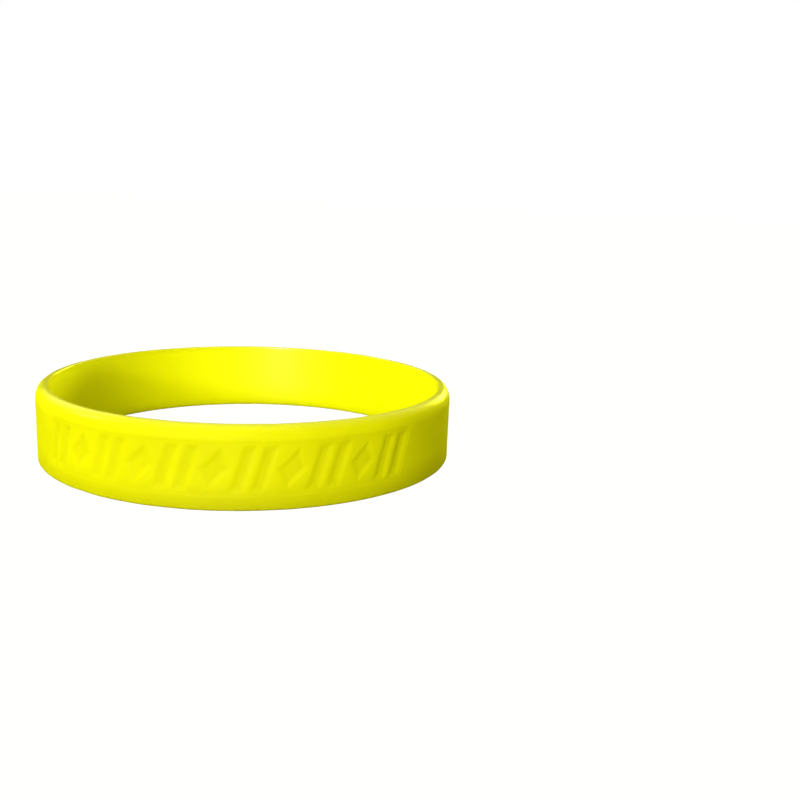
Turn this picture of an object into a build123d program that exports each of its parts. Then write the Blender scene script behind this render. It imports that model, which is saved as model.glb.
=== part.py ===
from build123d import *
import math
import os

# A moulded silicone wristband, one closed ring that lies on its edge, in millimetres.
# +Z is up, the origin is the middle of the ring on the surface it lies on,
# and the sunken pattern is centred on -Y.

# Ring
inner_diameter = 64.3
wall_thickness = 2.0
band_width = 12.0
top_roll_depth = 1.6
top_roll_height = 2.2
bottom_edge_radius = 0.3
inner_edge_radius = 0.2

# Sunken pattern on the outside: pairs of slanted bars with a lozenge between two pairs.
# Widths and gaps are measured along the band, on the flat floors of the recesses.
pattern_depth = 0.25
wall_draft_angle = 40.0
corner_radius = 0.15
slant_angle = 18.0
bar_width = 1.3
bar_height = 5.8
bar_gap = 1.6
lozenge_width = 3.4
lozenge_height = 4.6
lozenge_gap = 1.6
repeat_count = 5

# How far a cutting tool reaches past the outside of the ring
tool_margin = 0.1

# Worked out from the sizes above
inner_radius = inner_diameter / 2
outer_radius = inner_radius + wall_thickness
middle_height = band_width / 2
slant = math.tan(math.radians(slant_angle))


def ring():
    """The plain ring, turned about the Z axis: its outside rolls over at the top in a quarter ellipse."""
    inner_round = min(inner_edge_radius, wall_thickness / 8)
    bottom_round = min(bottom_edge_radius, wall_thickness / 4)
    roll_depth = min(top_roll_depth, wall_thickness - 2 * inner_round)
    roll_height = min(top_roll_height, band_width / 4)
    roll_foot = band_width - roll_height
    roll_middle = outer_radius - roll_depth
    outline = [
        Line((inner_radius, 0), (outer_radius, 0)),
        Line((outer_radius, 0), (outer_radius, roll_foot)),
        EllipticalCenterArc((roll_middle, roll_foot), roll_depth, roll_height, 0, arc_size=90),
        Line((roll_middle, band_width), (inner_radius, band_width)),
        Line((inner_radius, band_width), (inner_radius, 0)),
    ]
    section = make_face(outline)
    section = fillet(section.vertices().group_by(Axis.X)[0], inner_round)
    section = fillet(section.vertices().sort_by_distance((outer_radius, 0))[0], bottom_round)
    return revolve(Plane.XZ * section, Axis.Z)


def slanted(points):
    """A flat outline through the points, leaned over by the slant, with rounded corners."""
    leaned = [(across + up * slant, up) for across, up in points]
    outline = make_face(Polyline(*leaned, close=True))
    return fillet(outline.vertices(), min(corner_radius, bar_width / 4))


def bar_outline():
    """One slanted bar, centred on its own middle."""
    half_width = bar_width / 2
    half_height = bar_height / 2
    low_left = (-half_width, -half_height)
    low_right = (half_width, -half_height)
    high_right = (half_width, half_height)
    high_left = (-half_width, half_height)
    return slanted([low_left, low_right, high_right, high_left])


def lozenge_outline():
    """One slanted lozenge, centred on its own middle."""
    half_width = lozenge_width / 2
    half_height = lozenge_height / 2
    return slanted([(0, -half_height), (half_width, 0), (0, half_height), (-half_width, 0)])


def recess(outline, along):
    """The tool that sinks an outline into the ring, at a place measured along the outside."""
    turn = along / outer_radius - math.pi / 2
    outward = Vector(math.cos(turn), math.sin(turn), 0)
    rightward = Vector(-math.sin(turn), math.cos(turn), 0)
    middle = outward * (outer_radius - pattern_depth) + Vector(0, 0, middle_height)
    place = Plane(origin=middle, x_dir=rightward, z_dir=outward)
    return extrude(place * outline, amount=pattern_depth + tool_margin, taper=-wall_draft_angle)


def pattern():
    """Every recess of the row, from its left end to its right end as seen from outside."""
    bar = bar_outline()
    lozenge = lozenge_outline()
    bar_step = bar_width + bar_gap
    lozenge_step = bar_width / 2 + lozenge_gap + lozenge_width / 2
    repeat_length = bar_step + 2 * lozenge_step
    first_bar = -(repeat_count * repeat_length + bar_step) / 2
    recesses = []
    for repeat in range(repeat_count + 1):
        left_bar = first_bar + repeat * repeat_length
        right_bar = left_bar + bar_step
        recesses.append(recess(bar, left_bar))
        recesses.append(recess(bar, right_bar))
        if repeat < repeat_count:
            recesses.append(recess(lozenge, right_bar + lozenge_step))
    return recesses


def band():
    """The ring with its pattern cut in: the whole wristband is this one piece."""
    return ring() - pattern()


os.makedirs("parts", exist_ok=True)
export_step(band(), "parts/band.step")
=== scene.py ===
"""A moulded silicone wristband lying on a pale studio floor.

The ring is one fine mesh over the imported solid, with soft edges, a sunken row of slanted bars
and lozenges, and the slight unevenness of a moulding. Metres, +Z up, the row centred on -Y.
"""
import logging
import math
from dataclasses import dataclass, field
from enum import Enum
from typing import NamedTuple

import bpy
import numpy as np
from mathutils import Matrix, Vector


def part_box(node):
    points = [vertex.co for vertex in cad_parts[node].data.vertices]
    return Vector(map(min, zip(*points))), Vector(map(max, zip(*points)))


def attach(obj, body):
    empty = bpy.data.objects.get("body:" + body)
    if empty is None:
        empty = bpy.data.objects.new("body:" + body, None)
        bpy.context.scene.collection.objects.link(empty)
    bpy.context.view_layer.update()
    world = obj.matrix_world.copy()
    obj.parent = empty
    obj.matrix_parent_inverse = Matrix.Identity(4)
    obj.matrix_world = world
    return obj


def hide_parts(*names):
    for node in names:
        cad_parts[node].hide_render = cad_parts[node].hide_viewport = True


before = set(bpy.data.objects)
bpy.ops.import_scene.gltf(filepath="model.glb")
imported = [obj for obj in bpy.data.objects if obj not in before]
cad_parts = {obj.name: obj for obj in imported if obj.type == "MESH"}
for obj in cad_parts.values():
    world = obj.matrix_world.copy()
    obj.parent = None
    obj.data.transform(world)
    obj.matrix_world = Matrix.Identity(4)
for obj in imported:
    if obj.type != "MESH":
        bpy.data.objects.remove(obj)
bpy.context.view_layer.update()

Colour = tuple[float, float, float]

log = logging.getLogger("wristband")


class Value:
    """A number that varies in a shader: arithmetic on it adds Math nodes."""

    def __init__(self, bench: "Bench", socket: bpy.types.NodeSocket) -> None:
        """Wrap an output socket.

        Args:
            bench: the node tree that new Math nodes go into.
            socket: the output that carries the number.
        """
        self.bench = bench
        self.socket = socket

    def _math(self, operation: str, first: "Value | float", second: "Value | float") -> "Value":
        """Add one Math node.

        Args:
            operation: the Math node's operation.
            first: its first number or value.
            second: its second number or value.

        Returns:
            The node's result.
        """
        node = self.bench.add("ShaderNodeMath", {"operation": operation}, {0: first, 1: second})
        return Value(self.bench, node.outputs[0])

    def __add__(self, other: "Value | float") -> "Value":
        """Self plus other."""
        return self._math("ADD", self, other)

    def __radd__(self, other: float) -> "Value":
        """A plain number plus self."""
        return self._math("ADD", other, self)

    def __sub__(self, other: "Value | float") -> "Value":
        """Self minus other."""
        return self._math("SUBTRACT", self, other)

    def __rsub__(self, other: float) -> "Value":
        """A plain number minus self."""
        return self._math("SUBTRACT", other, self)

    def __mul__(self, other: "Value | float") -> "Value":
        """Self times other."""
        return self._math("MULTIPLY", self, other)

    def __rmul__(self, other: float) -> "Value":
        """A plain number times self."""
        return self._math("MULTIPLY", other, self)


class Bench:
    """One node tree, and the single way in which nodes are added to it."""

    def __init__(self, tree: bpy.types.NodeTree) -> None:
        """Start from an empty tree.

        Args:
            tree: the node tree of a material or of the world.
        """
        self.tree = tree
        tree.nodes.clear()

    def add(
        self,
        kind: str,
        settings: dict[str, object] | None = None,
        inputs: dict[int | str, object] | None = None,
    ) -> bpy.types.Node:
        """Add a node, give it its settings, and then fill its sockets.

        Args:
            kind: the node's type name.
            settings: its properties, and for a ramp its "stops" as (place, colour) pairs.
            inputs: a number, colour, Value or output socket for each input, by name or place.

        Returns:
            The new node.
        """
        node = self.tree.nodes.new(kind)
        for name, setting in (settings or {}).items():
            if name == "stops":
                self._set_stops(node.color_ramp, setting)
            else:
                setattr(node, name, setting)
        for name, value in (inputs or {}).items():
            source = value.socket if isinstance(value, Value) else value
            if isinstance(source, bpy.types.NodeSocket):
                self.tree.links.new(source, node.inputs[name])
            else:
                node.inputs[name].default_value = source
        return node

    def value(self, node: bpy.types.Node, output: int | str = 0) -> Value:
        """One output of a node, ready for arithmetic."""
        return Value(self, node.outputs[output])

    @staticmethod
    def _set_stops(ramp: bpy.types.ColorRamp, stops: list[tuple[float, Colour]]) -> None:
        """Give a colour ramp its stops.

        Args:
            ramp: the ramp, which starts with two stops.
            stops: a place from 0 to 1 and a colour for each stop, in order.
        """
        while len(ramp.elements) < len(stops):
            ramp.elements.new(1.0)
        for element, (place, colour) in zip(ramp.elements, stops):
            element.position = place
            element.color = (*colour, 1.0)


@dataclass(frozen=True)
class SiliconeFinish:
    """Satin moulded silicone, coloured right through.

    Attributes:
        bright: the yellow of the open surface.
        deep: the slightly deeper yellow of the cloudy patches.
        sunk: the deeper yellow painted on the floor of the recesses, as painted shade.
        inside: the lighter yellow of the inside, painted light for light bouncing round the ring.
        foot: the deeper yellow painted low down on the outside, as painted shade near the floor.
        foot_shade_height: how far up that painted shade reaches, in metres.
        cloud_size: how large the colour patches are, in metres.
        cloud_range: where in the noise the colour is all deep and all bright.
        recess_shade_share: how much of that painted shade the recesses' floors take.
        outer_roughness: the roughness of the outside.
        inner_roughness: the roughness of the inside, which is smoother.
        inside_start: where the inside's look starts and where it is full, in wall thicknesses in
            from the outside and then down the inside.
        gloss_start: the same for the polished skin, which covers the top edge and the inside.
        gloss_roughness: the roughness of that skin.
        gloss_index: its refractive index, which sets how strongly it mirrors.
        silicone_index: the refractive index of the silicone.
        mirror_level: how strongly the moulded surface mirrors, 0.5 being as its index gives.
        glow_share: how much of the light goes into the silicone and comes out again.
        glow_tint: how far red, green and blue light travel in it, as shares of glow_depth.
        glow_depth: how far light travels in it, in metres.
        sunk_roughness: how much rougher the recesses are, where nothing rubs.
        smear_size: how large the smears from handling are, in metres.
        smear_depth: how much a smear changes the roughness.
        grain_size: the mould's fine blasted grain, in metres.
        grain_height: how tall that grain stands, in metres.
        ripple_size: the soft unevenness of the skin, in metres.
        ripple_height: how tall it stands, in metres.
    """

    bright: Colour = (0.772, 0.761, 0.001)
    deep: Colour = (0.742, 0.729, 0.001)
    # Painted shade: the deeper yellow of the recess floors.
    sunk: Colour = (0.727, 0.711, 0.001)
    # Painted light: the inside's lighter yellow.
    inside: Colour = (0.970, 0.955, 0.001)
    # Painted shade: the deeper yellow low down on the outside.
    foot: Colour = (0.620, 0.605, 0.001)
    foot_shade_height: float = 0.0045
    cloud_size: float = 0.009
    cloud_range: tuple[float, float] = (0.35, 0.65)
    recess_shade_share: float = 0.8
    outer_roughness: float = 0.60
    inner_roughness: float = 0.50
    inside_start: tuple[float, float] = (1.0, 1.6)
    gloss_start: tuple[float, float] = (0.05, 0.7)
    gloss_roughness: float = 0.23
    gloss_index: float = 1.7
    silicone_index: float = 1.41
    mirror_level: float = 0.12
    glow_share: float = 0.8
    glow_tint: Colour = (1.0, 0.95, 0.10)
    glow_depth: float = 0.0022
    sunk_roughness: float = 0.05
    smear_size: float = 0.004
    smear_depth: float = 0.10
    grain_size: float = 0.00016
    grain_height: float = 0.000006
    ripple_size: float = 0.0014
    ripple_height: float = 0.000012

    def material(self) -> bpy.types.Material:
        """Build the material.

        Returns:
            The finished silicone material.
        """
        material = bpy.data.materials.new("yellow_silicone")
        material.use_nodes = True
        bench = Bench(material.node_tree)
        place = bench.add("ShaderNodeTexCoord").outputs["Object"]
        sunk = bench.value(bench.add("ShaderNodeAttribute", {"attribute_name": "sunk"}), "Fac")
        inward = bench.value(bench.add("ShaderNodeAttribute", {"attribute_name": "inward"}), "Fac")
        inner = self._share(bench, inward, *self.inside_start)
        shader = bench.add(
            "ShaderNodeBsdfPrincipled",
            inputs={
                "Base Color": self._colour(bench, place, sunk, inner),
                "Roughness": self._roughness(bench, place, sunk, inner),
                "Normal": self._skin(bench, place),
                "Coat Weight": self._share(bench, inward, *self.gloss_start),
                "Coat Roughness": self.gloss_roughness,
                "Coat IOR": self.gloss_index,
                "IOR": self.silicone_index,
                "Specular IOR Level": self.mirror_level,
                "Subsurface Weight": self.glow_share,
                "Subsurface Radius": self.glow_tint,
                "Subsurface Scale": self.glow_depth,
            },
        )
        bench.add("ShaderNodeOutputMaterial", inputs={"Surface": shader.outputs[0]})
        return material

    @staticmethod
    def _noise(bench: Bench, place: bpy.types.NodeSocket, size: float, detail: float) -> Value:
        """A soft random pattern.

        Args:
            bench: the material's node tree.
            place: where on the object the pattern is read.
            size: the size of its features, in metres.
            detail: how many finer layers it has.

        Returns:
            The pattern, from 0 to 1 around one half.
        """
        node = bench.add(
            "ShaderNodeTexNoise",
            {"noise_dimensions": "3D"},
            {"Vector": place, "Scale": 1 / size, "Detail": detail, "Roughness": 0.5},
        )
        return bench.value(node, "Fac")

    def _colour(
        self, bench: Bench, place: bpy.types.NodeSocket, sunk: Value, inner: Value
    ) -> bpy.types.NodeSocket:
        """The cloudy yellow, with painted shade in recesses and low down, and painted light inside.

        Args:
            bench: the material's node tree.
            place: where on the object it is read.
            sunk: 0 on the open surface, 1 on the floor of a recess.
            inner: 0 on the outside, 1 on the inside.

        Returns:
            The colour's socket.
        """
        clouds = self._noise(bench, place, self.cloud_size, 3.0)
        stops = list(zip(self.cloud_range, (self.deep, self.bright)))
        shades = bench.add("ShaderNodeValToRGB", {"stops": stops}, {"Fac": clouds})
        height = bench.value(bench.add("ShaderNodeSeparateXYZ", inputs={0: place}), "Z")
        # Painted shade: 1 at the floor, fading to 0 where the painted foot shade ends.
        low = 1 - self._share(bench, height, 0.0, self.foot_shade_height)
        # Painted shade: the floors of the recesses are painted a deeper yellow, where shade falls.
        outside = self._mixed(bench, sunk * self.recess_shade_share, shades.outputs["Color"], self.sunk)
        # Painted shade: the outside is painted a deeper yellow towards the floor.
        outside = self._mixed(bench, low, outside, self.foot)
        # Painted light: the inside is painted a lighter yellow for the light that bounces round in
        # the ring.
        return self._mixed(bench, inner, outside, self.inside)

    @staticmethod
    def _mixed(
        bench: Bench, share: Value, first: bpy.types.NodeSocket, second: Colour
    ) -> bpy.types.NodeSocket:
        """A colour partly replaced by another.

        Args:
            bench: the material's node tree.
            share: how much of the second colour there is.
            first: the first colour's socket.
            second: the second colour.

        Returns:
            The mixed colour's socket.
        """
        node = bench.add(
            "ShaderNodeMix",
            {"data_type": "RGBA"},
            {"Factor": share, "A": first, "B": (*second, 1.0)},
        )
        return node.outputs["Result"]

    def _roughness(
        self, bench: Bench, place: bpy.types.NodeSocket, sunk: Value, inner: Value
    ) -> Value:
        """Satin, smoother inside, with faint smears from handling and drier recesses.

        Args:
            bench: the material's node tree.
            place: where on the object it is read.
            sunk: 0 on the open surface, 1 on the floor of a recess.
            inner: 0 on the outside, 1 on the inside.

        Returns:
            The roughness.
        """
        smears = (self._noise(bench, place, self.smear_size, 4.0) - 0.5) * self.smear_depth
        plain = self.outer_roughness - inner * (self.outer_roughness - self.inner_roughness)
        return plain + smears + sunk * self.sunk_roughness

    @staticmethod
    def _share(bench: Bench, measure: Value, start: float, end: float) -> Value:
        """How far a change has gone.

        Args:
            bench: the material's node tree.
            measure: what the change follows.
            start: where the change starts.
            end: where it ends.

        Returns:
            0 before the start, 1 past the end, soft in between.
        """
        node = bench.add(
            "ShaderNodeMapRange",
            {"interpolation_type": "SMOOTHSTEP"},
            {"Value": measure, "From Min": start, "From Max": end},
        )
        return bench.value(node, "Result")

    def _skin(self, bench: Bench, place: bpy.types.NodeSocket) -> bpy.types.NodeSocket:
        """The fine grain of the mould over the soft unevenness of the skin.

        Args:
            bench: the material's node tree.
            place: where on the object it is read.

        Returns:
            The normal's socket.
        """
        grain = self._noise(bench, place, self.grain_size, 2.0)
        ripple = self._noise(bench, place, self.ripple_size, 2.0)
        height = grain * self.grain_height + ripple * self.ripple_height
        bump = bench.add(
            "ShaderNodeBump", inputs={"Height": height, "Distance": 1.0, "Strength": 1.0}
        )
        return bump.outputs["Normal"]


class Mark(Enum):
    """The two shapes that the sunken row is made of."""

    BAR = "bar"
    LOZENGE = "lozenge"


@dataclass(frozen=True)
class SunkenRow:
    """The row of slanted bars and lozenges sunk into the outside of the ring.

    Widths and gaps are measured along the band, on the floors of the recesses, in metres.

    Attributes:
        depth: how deep the recesses are.
        wall_draft_degrees: how far their walls lean outward.
        slant_degrees: how far the row leans to the right.
        bar_width: the width of a bar.
        bar_height: the height of a bar.
        bar_gap: the gap between the two bars of a pair.
        lozenge_width: the width of a lozenge.
        lozenge_height: the height of a lozenge.
        lozenge_gap: the gap between a lozenge and the bars beside it.
        corner_radius: the rounding of the corners.
        edge_softness: how far the top and bottom edges of the walls are rounded over.
        repeats: how many lozenges there are.
        panel_depth: how deep the faint panel round the row is.
        panel_margin: how far the panel reaches past the bars.
        panel_softness: how wide the panel's edge is.
    """

    depth: float = 0.00025
    wall_draft_degrees: float = 40.0
    slant_degrees: float = 18.0
    bar_width: float = 0.0013
    bar_height: float = 0.0058
    bar_gap: float = 0.0016
    lozenge_width: float = 0.0034
    lozenge_height: float = 0.0046
    lozenge_gap: float = 0.0016
    corner_radius: float = 0.00015
    edge_softness: float = 0.00045
    repeats: int = 5
    panel_depth: float = 0.00006
    panel_margin: float = 0.0009
    panel_softness: float = 0.0005

    @property
    def slant(self) -> float:
        """How far the row moves right for each unit of height."""
        return math.tan(math.radians(self.slant_degrees))

    @property
    def half_length(self) -> float:
        """From the middle of the row to its end, at mid height."""
        return (self._repeat_length * self.repeats + 2 * self.bar_width + self.bar_gap) / 2

    @property
    def _repeat_length(self) -> float:
        """From one pair of bars to the next."""
        return 2 * self.bar_width + self.bar_gap + self.lozenge_width + 2 * self.lozenge_gap

    def marks(self) -> list[tuple[Mark, float]]:
        """Every mark with the place of its middle along the band.

        Returns:
            The marks from the left end of the row to its right end.
        """
        bar_step = self.bar_width + self.bar_gap
        lozenge_step = (self.bar_width + self.lozenge_width) / 2 + self.lozenge_gap
        placed = []
        for repeat in range(self.repeats + 1):
            left_bar = repeat * self._repeat_length + self.bar_width / 2 - self.half_length
            right_bar = left_bar + bar_step
            placed += [(Mark.BAR, left_bar), (Mark.BAR, right_bar)]
            if repeat < self.repeats:
                placed.append((Mark.LOZENGE, right_bar + lozenge_step))
        return placed

    def _outside(self, mark: Mark, across: np.ndarray, up: np.ndarray) -> np.ndarray:
        """How far points lie outside a mark's floor, in the row's slanted directions.

        Args:
            mark: the shape.
            across: places along the band from the mark's middle.
            up: heights above the middle of the band.

        Returns:
            Distances, below zero on the floor.
        """
        if mark is Mark.BAR:
            half = (self.bar_width / 2, self.bar_height / 2)
            return self._outside_box(across, up, half, self.corner_radius)
        half_width = self.lozenge_width / 2
        half_height = self.lozenge_height / 2
        share = np.abs(across) / half_width + np.abs(up) / half_height - 1
        return share * half_width * half_height / math.hypot(half_width, half_height)

    @staticmethod
    def _outside_box(
        across: np.ndarray, up: np.ndarray, half: tuple[float, float], corner: float
    ) -> np.ndarray:
        """How far points lie outside an oblong with rounded corners.

        Args:
            across: places along the band from the oblong's middle.
            up: heights above its middle.
            half: half its width and half its height.
            corner: the radius of its corners.

        Returns:
            Distances, below zero inside.
        """
        side = np.abs(across) - half[0] + corner
        end = np.abs(up) - half[1] + corner
        past_corner = np.hypot(np.maximum(side, 0), np.maximum(end, 0))
        return past_corner + np.minimum(np.maximum(side, end), 0) - corner

    def panel_share(self, along: np.ndarray, up: np.ndarray) -> np.ndarray:
        """How far the faint panel round the row is sunk, as a share of its depth.

        Args:
            along: places along the band, with the slant already taken off.
            up: heights above the middle of the band.

        Returns:
            0 outside the panel, 1 in it, soft in between.
        """
        half = (self.half_length + self.panel_margin, self.bar_height / 2 + self.panel_margin)
        outside = self._outside_box(along, up, half, self.panel_margin)
        share = np.clip(0.5 - outside / self.panel_softness, 0, 1)
        return share * share * (3 - 2 * share)

    def sunk_share(self, along: np.ndarray, up: np.ndarray) -> np.ndarray:
        """How far the surface is sunk, as a share of the full depth.

        Args:
            along: places along the band, with the slant already taken off.
            up: heights above the middle of the band.

        Returns:
            0 on the open surface, 1 on the floor of a recess, soft in between.
        """
        run = self.depth * math.tan(math.radians(self.wall_draft_degrees))
        blend_length = run + 2 * self.edge_softness
        deepest = np.zeros_like(along)
        for mark, middle in self.marks():
            outside = self._outside(mark, along - middle, up)
            share = np.clip(1 - (outside + self.edge_softness) / blend_length, 0, 1)
            deepest = np.maximum(deepest, share * share * (3 - 2 * share))
        return deepest


@dataclass(frozen=True)
class Unevenness:
    """The slow, shallow swelling that shrinkage leaves in a moulded ring.

    Attributes:
        swell: how far the skin swells and sinks, in metres.
        longest_wave: the longest wave round the ring, as waves in one turn.
        shortest_wave: the shortest wave round the ring, as waves in one turn.
        climb: how far a wave leans from the foot to the top, at most, in half waves.
        layers: how many waves are added.
        seed: fixes the waves' phases.
    """

    swell: float = 0.00002
    longest_wave: int = 9
    shortest_wave: int = 34
    climb: float = 1.2
    layers: int = 9
    seed: int = 5

    def lift(self, turn: np.ndarray, rise: np.ndarray) -> np.ndarray:
        """The swelling at each point.

        Args:
            turn: angles round the ring, in radians.
            rise: heights, as a share of the band's width.

        Returns:
            Distances outward from the true surface, in metres.
        """
        random = np.random.default_rng(self.seed)
        total = np.zeros(np.broadcast(turn, rise).shape)
        for _ in range(self.layers):
            waves = random.integers(self.longest_wave, self.shortest_wave)
            climb = random.uniform(-self.climb, self.climb) * math.pi
            phase = random.uniform(0, 2 * math.pi)
            total += np.sin(waves * turn + climb * rise + phase)
        return total * self.swell / math.sqrt(self.layers)


class SectionRow(NamedTuple):
    """One point of the ring's cross-section, and the way out of the surface there.

    Attributes:
        radius: how far from the axis it is, in metres.
        height: how high it is, in metres.
        out_radial: how far the way out of the surface points away from the axis.
        out_up: how far that way points up.
        on_outside: whether the point belongs to the outside.
    """

    radius: float
    height: float
    out_radial: float
    out_up: float
    on_outside: bool


@dataclass
class Wristband:
    """The whole wristband: one seamless ring.

    Attributes:
        outer_radius: from the axis to the outside.
        band_width: from the floor to the top edge.
        wall: the thickness of the silicone.
        top_roll: how far in, and how far up, the outside rolls over at the top.
        foot_round: the small rounding of the outside's bottom edge.
        inner_round: the small rounding of the inside edges.
        face_step: the mesh's step up the outside.
        row_step: the mesh's step along the sunken row.
        plain_step: the mesh's step round the plain stretch.
        inside_rows: how many steps go down the inside.
        roll_rows: how many steps the rolled top edge takes.
        edge_rows: how many steps each small rounding takes.
        row: the sunken row.
        unevenness: the moulding's slow swelling.
        finish: the silicone.
    """

    outer_radius: float
    band_width: float
    wall: float = 0.0020
    top_roll: tuple[float, float] = (0.0016, 0.0022)
    foot_round: float = 0.0003
    inner_round: float = 0.0002
    face_step: float = 0.000125
    row_step: float = 0.000135
    plain_step: float = 0.00075
    inside_rows: int = 22
    roll_rows: int = 18
    edge_rows: int = 6
    row: SunkenRow = field(default_factory=SunkenRow)
    unevenness: Unevenness = field(default_factory=Unevenness)
    finish: SiliconeFinish = field(default_factory=SiliconeFinish)

    @classmethod
    def around(cls, node: str) -> "Wristband":
        """A wristband as large as a node of the frame.

        Args:
            node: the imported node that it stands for.

        Returns:
            The wristband.
        """
        low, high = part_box(node)
        return cls(outer_radius=(high.x - low.x) / 2, band_width=high.z - low.z)

    def section(self) -> list[SectionRow]:
        """The closed cross-section, from the foot of the outside, up, in, down and out.

        Returns:
            The rows of points that the mesh is made of.
        """
        inner_radius = self.outer_radius - self.wall
        inner_mid = inner_radius + self.inner_round
        small = (self.inner_round, self.inner_round)
        foot = (self.foot_round, self.foot_round)
        top = self.band_width
        shoulder = top - self.top_roll[1]
        rows = []
        face_rows = round((shoulder - self.foot_round) / self.face_step)
        for height in np.linspace(self.foot_round, shoulder, face_rows + 1)[:-1]:
            rows.append(SectionRow(self.outer_radius, height, 1, 0, True))
        roll_mid = self.outer_radius - self.top_roll[0]
        rows += self._corner(roll_mid, shoulder, self.top_roll, 0, self.roll_rows)
        rows += self._corner(inner_mid, top - self.inner_round, small, 90, self.edge_rows)
        inside = np.linspace(top - self.inner_round, self.inner_round, self.inside_rows + 1)
        for height in inside[:-1]:
            rows.append(SectionRow(inner_radius, height, -1, 0, False))
        foot_mid = self.outer_radius - self.foot_round
        rows += self._corner(inner_mid, self.inner_round, small, 180, self.edge_rows)
        rows += self._corner(foot_mid, self.foot_round, foot, 270, self.edge_rows)
        return rows

    @staticmethod
    def _corner(
        radius: float, height: float, rounding: tuple[float, float], start: float, steps: int
    ) -> list[SectionRow]:
        """A quarter of an ellipse in the cross-section.

        Args:
            radius: how far from the axis the rounding's middle is.
            height: how high it is.
            rounding: how far in, and how far up, it reaches.
            start: the direction in which it starts, in degrees.
            steps: how many rows it takes.

        Returns:
            Its rows, with the last point too where a flat edge follows it.
        """
        last = steps + 1 if start in (0, 180) else steps
        rows = []
        for step in range(last):
            angle = math.radians(start + 90 * step / steps)
            spot = (radius + rounding[0] * math.cos(angle), height + rounding[1] * math.sin(angle))
            out = Vector((rounding[1] * math.cos(angle), rounding[0] * math.sin(angle))).normalized()
            rows.append(SectionRow(*spot, *out, start in (0, 270)))
        return rows

    def columns(self) -> np.ndarray:
        """Where the mesh's columns stand along the outside, at mid height.

        Returns:
            Places along the band, fine over the row and coarser behind it.
        """
        row_end = self.row.half_length + self.row.panel_margin + self.row.panel_softness
        half_way = math.pi * self.outer_radius
        fine = np.linspace(-row_end, row_end, round(2 * row_end / self.row_step))
        plain_length = 2 * (half_way - row_end)
        plain_count = round(plain_length / self.plain_step)
        behind = np.linspace(row_end, row_end + plain_length, plain_count + 1)[1:-1]
        return np.concatenate([fine, behind])

    def points(self) -> tuple[np.ndarray, np.ndarray, np.ndarray]:
        """Every point of the mesh.

        Returns:
            The points, as columns by rows by three, how far each is sunk, from 0 to 1, and how far
            in from the outside, and then down the inside, each lies, in wall thicknesses.
        """
        radius, height, out_radial, out_up, on_outside = np.array(self.section(), float).T
        along = self.columns()[:, None]
        middle = self.band_width / 2
        up = height - middle
        turn = (along + up * self.row.slant) / self.outer_radius - math.pi / 2
        flat_along, flat_up = np.broadcast_arrays(along, up)
        sunk = self.row.sunk_share(flat_along, flat_up) * on_outside
        panel = self.row.panel_share(flat_along, flat_up) * on_outside
        depth = sunk * self.row.depth + (1 - sunk) * panel * self.row.panel_depth
        off_floor = height > 0
        lift = self.unevenness.lift(turn, height / self.band_width) * off_floor
        reach = radius + out_radial * lift - depth
        # The edges sink but never rise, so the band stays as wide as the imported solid.
        rise = height + out_up * np.minimum(lift, 0)
        spots = np.stack([reach * np.cos(turn), reach * np.sin(turn), rise * np.ones_like(turn)], -1)
        inward = self.outer_radius - radius + (1 - on_outside) * (self.band_width - height)
        return spots, sunk, np.broadcast_to(inward / self.wall, turn.shape)

    def mesh(self) -> bpy.types.Mesh:
        """The closed mesh, with its smooth shading and its record of what is sunk or inside.

        Returns:
            The mesh.
        """
        spots, sunk, inward = self.points()
        columns, rows = sunk.shape
        number = np.arange(columns * rows).reshape(columns, rows)
        next_column = np.roll(number, -1, axis=0)
        next_row = np.roll(number, -1, axis=1)
        next_both = np.roll(next_column, -1, axis=1)
        faces = np.stack([number, next_column, next_both, next_row], -1).reshape(-1, 4)
        mesh = bpy.data.meshes.new("wristband")
        mesh.from_pydata(spots.reshape(-1, 3).tolist(), [], faces.tolist())
        for name, shares in {"sunk": sunk, "inward": inward}.items():
            mesh.attributes.new(name, "FLOAT", "POINT").data.foreach_set("value", shares.ravel())
        mesh.shade_smooth()
        return mesh

    def build(self) -> bpy.types.Object:
        """Make the ring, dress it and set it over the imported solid.

        Returns:
            The finished piece.
        """
        piece = bpy.data.objects.new("wristband", self.mesh())
        bpy.context.scene.collection.objects.link(piece)
        piece.data.materials.append(self.finish.material())
        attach(piece, "root")
        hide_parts("band")
        return piece


def towards(side: float, rise: float) -> Vector:
    """The direction of something that stands round the object.

    Args:
        side: how far round it stands from the front, to the right, in degrees.
        rise: how high it stands, in degrees.

    Returns:
        The unit vector from the object to it.
    """
    turn = math.radians(side)
    lift = math.radians(rise)
    level = Vector((math.sin(turn), -math.cos(turn), 0))
    return level * math.cos(lift) + Vector((0, 0, math.sin(lift)))


@dataclass(frozen=True)
class Softbox:
    """A soft lamp, far enough away to light everything evenly.

    Attributes:
        name: what the lamp is called.
        side: how far round it stands from the front, to the right, in degrees.
        rise: how high its middle stands, in degrees.
        spread: how wide it looks from the object, in degrees.
        strength: how much light it gives, in watts a square metre.
        tint: the colour of its light.
    """

    name: str
    side: float
    rise: float
    spread: float
    strength: float
    tint: Colour = (1.0, 1.0, 1.0)

    def build(self) -> bpy.types.Object:
        """Make the lamp.

        Returns:
            The lamp.
        """
        data = bpy.data.lights.new(self.name, "SUN")
        data.angle = math.radians(self.spread)
        data.energy = self.strength
        data.color = self.tint
        lamp = bpy.data.objects.new(self.name, data)
        lamp.rotation_mode = "QUATERNION"
        lamp.rotation_quaternion = towards(self.side, self.rise).to_track_quat("Z", "Y")
        bpy.context.scene.collection.objects.link(lamp)
        return lamp


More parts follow.
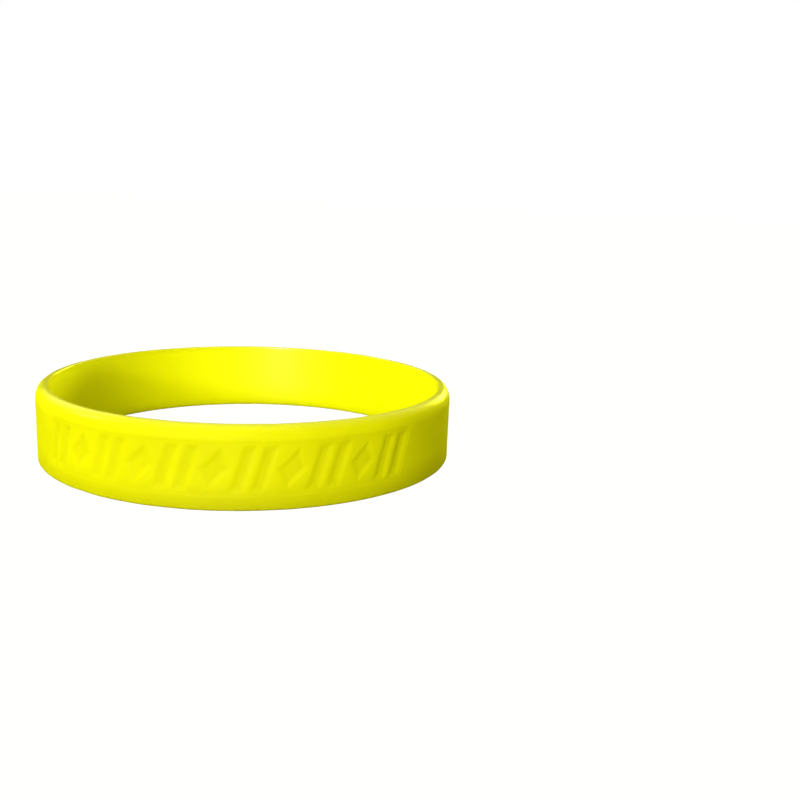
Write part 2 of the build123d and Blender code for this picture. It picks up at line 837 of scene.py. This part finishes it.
@dataclass(frozen=True)
class Studio:
    """The pale floor, the lamps and the pale room round them.

    Attributes:
        floor_size: the side of the floor, in metres.
        floor_grey: how much light the floor returns to the picture.
        floor_glow: how bright the floor's own light is in the picture.
        floor_bounce: how much light the floor returns to the object.
        mirrored_room: how bright the room is, high up, where the object's sheen shows it.
        mirrored_low: how bright it is near the floor, as a share of that.
        room_dusk: the heights, in degrees, between which the room brightens.
        backdrop: how bright the room looks behind it.
        lamps: the softboxes.
    """

    floor_size: float = 8.0
    floor_grey: Colour = (0.10, 0.10, 0.10)
    floor_glow: float = 0.97
    floor_bounce: Colour = (0.24, 0.24, 0.03)
    mirrored_room: float = 0.4
    mirrored_low: float = 0.05
    room_dusk: tuple[float, float] = (9.0, 32.0)
    backdrop: float = 1.0
    lamps: tuple[Softbox, ...] = (
        Softbox("key", side=-27, rise=26, spread=30, strength=1.32, tint=(1.0, 1.0, 0.1)),
        Softbox("front", side=-12, rise=17, spread=25, strength=1.0, tint=(1.0, 1.0, 0.1)),
        Softbox("sheen", side=-12, rise=9, spread=5, strength=1.7, tint=(0.4, 0.4, 1.0)),
        Softbox("left", side=-92, rise=30, spread=20, strength=1.12, tint=(1.0, 1.0, 0.3)),
        Softbox("right", side=38, rise=20, spread=25, strength=0.57, tint=(1.0, 1.0, 0.1)),
        Softbox("right_back", side=153, rise=11, spread=16, strength=2.5, tint=(1.0, 1.0, 0.05)),
        Softbox("back", side=-135, rise=30, spread=30, strength=0.7, tint=(1.0, 1.0, 0.1)),
        Softbox("top", side=-20, rise=75, spread=50, strength=0.65, tint=(1.0, 1.0, 0.2)),
    )

    def build(self) -> None:
        """Make the floor, the lamps and the room, and set how the picture is developed."""
        self._floor()
        for lamp in self.lamps:
            lamp.build()
        self._room()
        bpy.context.scene.view_settings.view_transform = "Standard"

    def _floor(self) -> None:
        """Make the floor: pale in the picture, and dim as a light from below."""
        half = self.floor_size / 2
        corners = [(-half, -half, 0), (half, -half, 0), (half, half, 0), (-half, half, 0)]
        mesh = bpy.data.meshes.new("floor")
        mesh.from_pydata(corners, [], [(0, 1, 2, 3)])
        floor = bpy.data.objects.new("floor", mesh)
        bpy.context.scene.collection.objects.link(floor)
        material = bpy.data.materials.new("pale_floor")
        material.use_nodes = True
        bench = Bench(material.node_tree)
        seen = bench.add("ShaderNodeLightPath").outputs["Is Camera Ray"]
        dull = bench.add("ShaderNodeBsdfDiffuse", inputs={"Color": (*self.floor_bounce, 1.0)})
        pale = bench.add("ShaderNodeBsdfDiffuse", inputs={"Color": (*self.floor_grey, 1.0)})
        glow = bench.add(
            "ShaderNodeEmission", inputs={"Color": (1.0, 1.0, 1.0, 1.0), "Strength": self.floor_glow}
        )
        lit = bench.add("ShaderNodeAddShader", inputs={0: pale.outputs[0], 1: glow.outputs[0]})
        mixed = bench.add(
            "ShaderNodeMixShader", inputs={0: seen, 1: dull.outputs[0], 2: lit.outputs[0]}
        )
        bench.add("ShaderNodeOutputMaterial", inputs={"Surface": mixed.outputs[0]})
        mesh.materials.append(material)

    def _room(self) -> None:
        """Make the room: pale to look at, dimmer in the object's sheen, and no light itself."""
        world = bpy.data.worlds.new("pale_room")
        world.use_nodes = True
        bench = Bench(world.node_tree)
        path = bench.add("ShaderNodeLightPath")
        seen = bench.value(path, "Is Camera Ray")
        mirrored = bench.value(path, "Is Glossy Ray")
        way = bench.add("ShaderNodeTexCoord").outputs["Generated"]
        up = bench.value(bench.add("ShaderNodeSeparateXYZ", inputs={0: way}), "Z")
        low, high = (math.sin(math.radians(height)) for height in self.room_dusk)
        height_share = bench.add(
            "ShaderNodeMapRange",
            {"interpolation_type": "SMOOTHSTEP"},
            {"Value": up, "From Min": low, "From Max": high, "To Min": self.mirrored_low},
        )
        sheen = mirrored * bench.value(height_share, "Result") * self.mirrored_room
        room = bench.add(
            "ShaderNodeBackground",
            inputs={"Color": (1.0, 1.0, 1.0, 1.0), "Strength": seen * self.backdrop + sheen},
        )
        bench.add("ShaderNodeOutputWorld", inputs={"Surface": room.outputs[0]})
        bpy.context.scene.world = world


@dataclass(frozen=True)
class PhotoCamera:
    """The camera that sees the wristband as the photograph does.

    Attributes:
        aim_height: the height of the ring's middle, in metres.
        distance: from that middle to the camera, in metres.
        side: how far round the camera stands from the front, to the right, in degrees.
        rise: how high it stands, in degrees.
        pan: how far it turns right from the ring's middle, in degrees.
        tilt: how far it turns up, in degrees.
        roll: how far it leans, in degrees.
        focal_pixels: the lens, in pixels of the picture.
        picture_pixels: the width of the picture.
        sensor: the width of the sensor, in millimetres.
        nearest: how near to the camera things still show, in metres.
    """

    aim_height: float
    distance: float = 0.16086
    side: float = 8.0
    rise: float = 13.3696
    pan: float = 9.4656
    tilt: float = 0.9311
    roll: float = 2.3086
    focal_pixels: float = 924.20
    picture_pixels: int = 800
    sensor: float = 36.0
    nearest: float = 0.01

    def build(self) -> bpy.types.Object:
        """Make the camera and look through it.

        Returns:
            The camera.
        """
        data = bpy.data.cameras.new("photo_camera")
        data.sensor_width = self.sensor
        data.lens = self.focal_pixels / self.picture_pixels * self.sensor
        data.clip_start = self.nearest
        camera = bpy.data.objects.new("photo_camera", data)
        camera.matrix_world = self._place()
        bpy.context.scene.collection.objects.link(camera)
        bpy.context.scene.camera = camera
        return camera

    def _place(self) -> Matrix:
        """Where the camera stands and how it is turned.

        Returns:
            The camera's matrix.
        """
        heading = math.radians(self.pan - self.side)
        dip = math.radians(self.tilt - self.rise)
        roll = math.radians(self.roll)
        stand = Vector((0, 0, self.aim_height)) + self.distance * towards(self.side, self.rise)
        level_forward = Vector((math.sin(heading), math.cos(heading), 0))
        forward = level_forward * math.cos(dip) + Vector((0, 0, math.sin(dip)))
        level_right = forward.cross(Vector((0, 0, 1))).normalized()
        level_up = level_right.cross(forward)
        right = level_right * math.cos(roll) + level_up * math.sin(roll)
        up = level_up * math.cos(roll) - level_right * math.sin(roll)
        turned = Matrix((right, up, -forward)).transposed().to_4x4()
        return Matrix.Translation(stand) @ turned


def main() -> None:
    """Build the camera, the studio and the wristband, in that order."""
    logging.basicConfig(level=logging.INFO, format="%(name)s: %(message)s")
    band = Wristband.around("band")
    camera = PhotoCamera(aim_height=band.band_width / 2).build()
    log.info("camera at %s", tuple(round(x, 4) for x in camera.location))
    Studio().build()
    piece = band.build()
    log.info("%s has %d faces", piece.name, len(piece.data.polygons))


if __name__ == "__main__":
    main()
